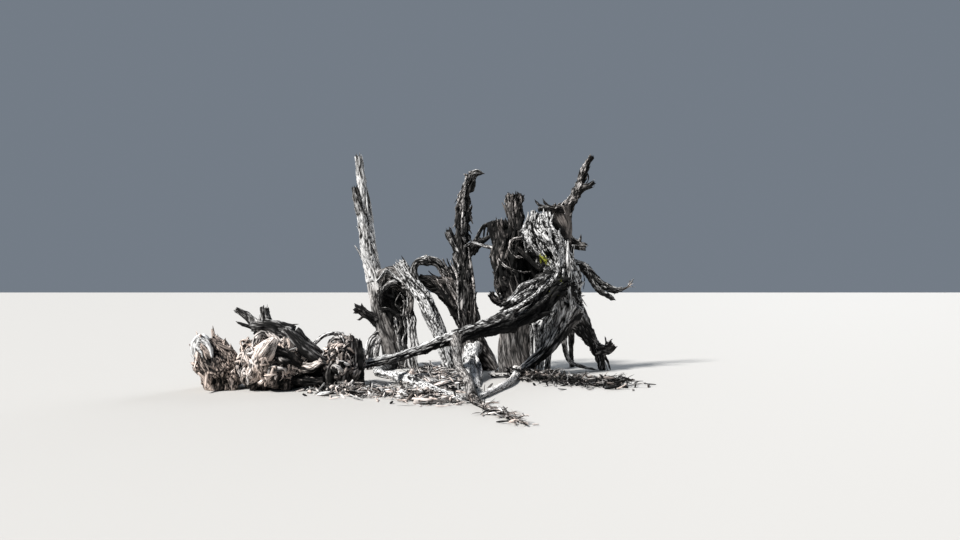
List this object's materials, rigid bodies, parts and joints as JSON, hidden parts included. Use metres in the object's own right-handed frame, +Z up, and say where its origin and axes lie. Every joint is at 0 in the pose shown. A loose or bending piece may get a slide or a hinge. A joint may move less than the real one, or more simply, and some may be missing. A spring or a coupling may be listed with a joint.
{
  "type": "dead tree",
  "caption": "Weathered dead tree: broken upright stems, a long sweeping bough, bare surface roots and a fallen log with root clumps, all bleached and cracked.",
  "frame": {"origin": "middle of the main trunk's flat cut at ground level", "axes": "+Z straight up, -Y towards the side with the long sweeping bough, +X to the right of that side"},
  "size_m": [7.3028, 6.2829, 4.1928],
  "materials": {
    "bleached_wood": "dry, cracked, sun-bleached",
    "grey_wood": "dry, deeply fissured, silver-grey",
    "dark_wood": "dry, rough, dark and flaking",
    "root_wood": "dry, splintered, warm brown",
    "twig_wood": "dry bare twigs"
  },
  "bodies": {
    "root": {"arch_comb": "dark_wood", "arch_fall": "grey_wood", "arch_rise": "grey_wood", "arched_shoot": "bleached_wood", "back_leg": "grey_wood", "bleached_bough": "bleached_wood", "bridge_limb": "dark_wood", "bridge_twig": "grey_wood", "brush_pile": "twig_wood", "crown_slab": "bleached_wood", "crown_splinters": "dark_wood", "curtain_rib_1": "bleached_wood", "curtain_rib_2": "bleached_wood", "dark_bough": "dark_wood", "fallen_log": "dark_wood", "fallen_log_tail": "dark_wood", "fallen_stump": "root_wood", "front_leg": "dark_wood", "front_root": "grey_wood", "hood_back": "dark_wood", "hood_rim_left": "grey_wood", "hood_rim_right": "grey_wood", "hood_roof": "root_wood", "hood_strand_1": "bleached_wood", "hood_strand_2": "bleached_wood", "knobby_stub": "dark_wood", "left_snag": "grey_wood", "leg_knob": "dark_wood", "log_branch": "grey_wood", "log_stub": "grey_wood", "log_twig": "grey_wood", "long_limb_reach": "grey_wood", "long_limb_root": "grey_wood", "main_trunk": "dark_wood", "middle_snag": "dark_wood", "over_limb": "bleached_wood", "pale_foot": "bleached_wood", "pale_root": "bleached_wood", "right_column": "grey_wood", "right_leg": "dark_wood", "right_limb": "grey_wood", "right_limb_fork": "grey_wood", "right_limb_twigs": "twig_wood", "right_root": "bleached_wood", "right_stub": "grey_wood", "right_wad": "root_wood", "root_fan": "twig_wood", "root_mat_back": "twig_wood", "root_mat_front": "twig_wood", "side_root": "dark_wood", "slab_web": "root_wood", "snag_flare": "bleached_wood", "snag_hook": "grey_wood", "snag_prong": "dark_wood", "snag_twin": "grey_wood", "top_branch": "dark_wood", "top_fork": "grey_wood", "trunk_shoulder": "dark_wood", "trunk_stub": "dark_wood", "wad_body": "root_wood"}
  },
  "joints": []
}
